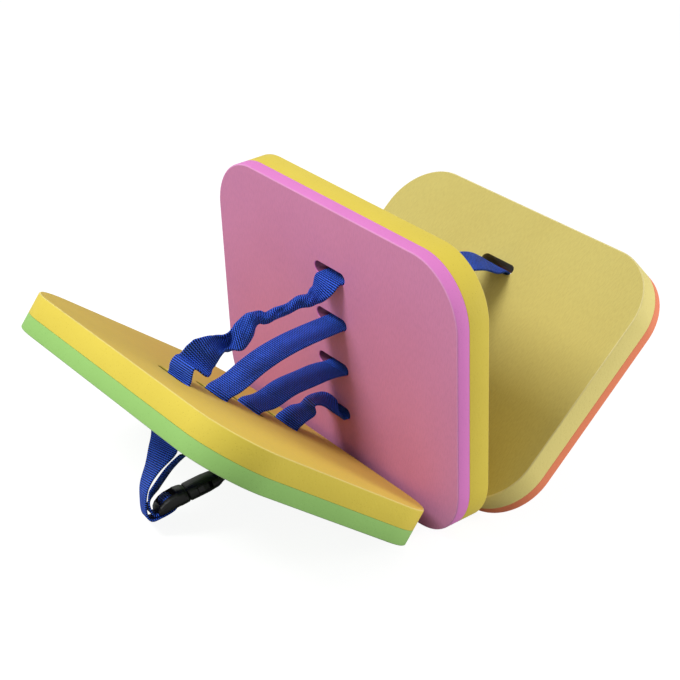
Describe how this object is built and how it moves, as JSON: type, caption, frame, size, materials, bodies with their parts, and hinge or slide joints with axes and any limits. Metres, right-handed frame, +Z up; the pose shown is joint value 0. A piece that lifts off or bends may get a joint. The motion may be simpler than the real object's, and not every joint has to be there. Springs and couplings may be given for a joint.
{
  "type": "back float kickboard set",
  "caption": "Back float set of rounded two-colour foam kickboards laced on one webbing belt with a side-release buckle, standing open as a fan.",
  "frame": {"origin": "middle of the footprint on the floor, under the centre of the box round the whole set", "axes": "+X from the left board to the right board, across the fan; +Y along the slots, away from the camera; +Z up"},
  "size_m": [0.401, 0.2796, 0.217],
  "materials": {
    "foam_yellow": "closed-cell foam, matt, fine embossed grain",
    "foam_green": "closed-cell foam, matt, fine embossed grain",
    "foam_pink": "closed-cell foam, matt, fine embossed grain",
    "foam_orange": "closed-cell foam, matt, fine embossed grain",
    "webbing": "ribbed woven webbing, slight sheen",
    "buckle_plastic": "moulded plastic, satin"
  },
  "bodies": {
    "middle_board": {"middle_board_pink_layer": "foam_pink", "middle_board_yellow_layer": "foam_yellow", "belt_pass_middle_1": "webbing", "belt_pass_middle_2": "webbing", "belt_pass_middle_3": "webbing", "belt_pass_middle_4": "webbing", "belt_strand_left_1": "webbing", "belt_strand_left_2": "webbing", "belt_strand_left_3": "webbing", "belt_strand_left_4": "webbing", "belt_strand_right_1": "webbing", "belt_strand_right_2": "webbing", "belt_strand_right_3": "webbing", "belt_strand_right_4": "webbing"},
    "left_board": {"left_board_yellow_layer": "foam_yellow", "left_board_green_layer": "foam_green", "belt_turn_left": "webbing", "belt_lead": "webbing", "buckle_female": "buckle_plastic"},
    "right_board": {"right_board_yellow_layer": "foam_yellow", "right_board_orange_layer": "foam_orange", "belt_turn_right_upper": "webbing", "belt_turn_right_lower": "webbing"},
    "buckle_male": {"buckle_male_frame": "buckle_plastic", "belt_drop": "webbing", "belt_tail": "webbing"},
    "prong_upper": {"buckle_prong_upper": "buckle_plastic"},
    "prong_lower": {"buckle_prong_lower": "buckle_plastic"}
  },
  "joints": [
    {"name": "left_board_fold", "type": "hinge", "parent": "middle_board", "child": "left_board", "pos_m": [-0.02111, 0, 0.00314], "axis": [0, 1, 0], "range_deg": [-8, 50], "deforming": ["belt_strand_left_1", "belt_strand_left_2", "belt_strand_left_3", "belt_strand_left_4"]},
    {"name": "right_board_fold", "type": "hinge", "parent": "middle_board", "child": "right_board", "pos_m": [0.05539, 0, 0.01115], "axis": [0, -1, 0], "range_deg": [-8, 50], "deforming": ["belt_strand_right_1", "belt_strand_right_2", "belt_strand_right_3", "belt_strand_right_4"]},
    {"name": "buckle_release", "type": "slide", "parent": "left_board", "child": "buckle_male", "axis": [-0.8824, 0.2282, -0.4115], "range_m": [0, 0.02], "deforming": ["belt_drop", "buckle_prong_upper", "buckle_prong_lower"]},
    {"name": "prong_upper_press", "type": "hinge", "parent": "buckle_male", "child": "prong_upper", "pos_m": [-0.14324, -0.02905, 0.02734], "axis": [-0.2689, 0.4731, 0.839], "range_deg": [0, 12], "stiffness_Nm_per_rad": 1.5},
    {"name": "prong_lower_press", "type": "hinge", "parent": "buckle_male", "child": "prong_lower", "pos_m": [-0.1366, -0.01441, 0.02121], "axis": [0.2689, -0.4731, -0.839], "range_deg": [0, 12], "stiffness_Nm_per_rad": 1.5}
  ]
}
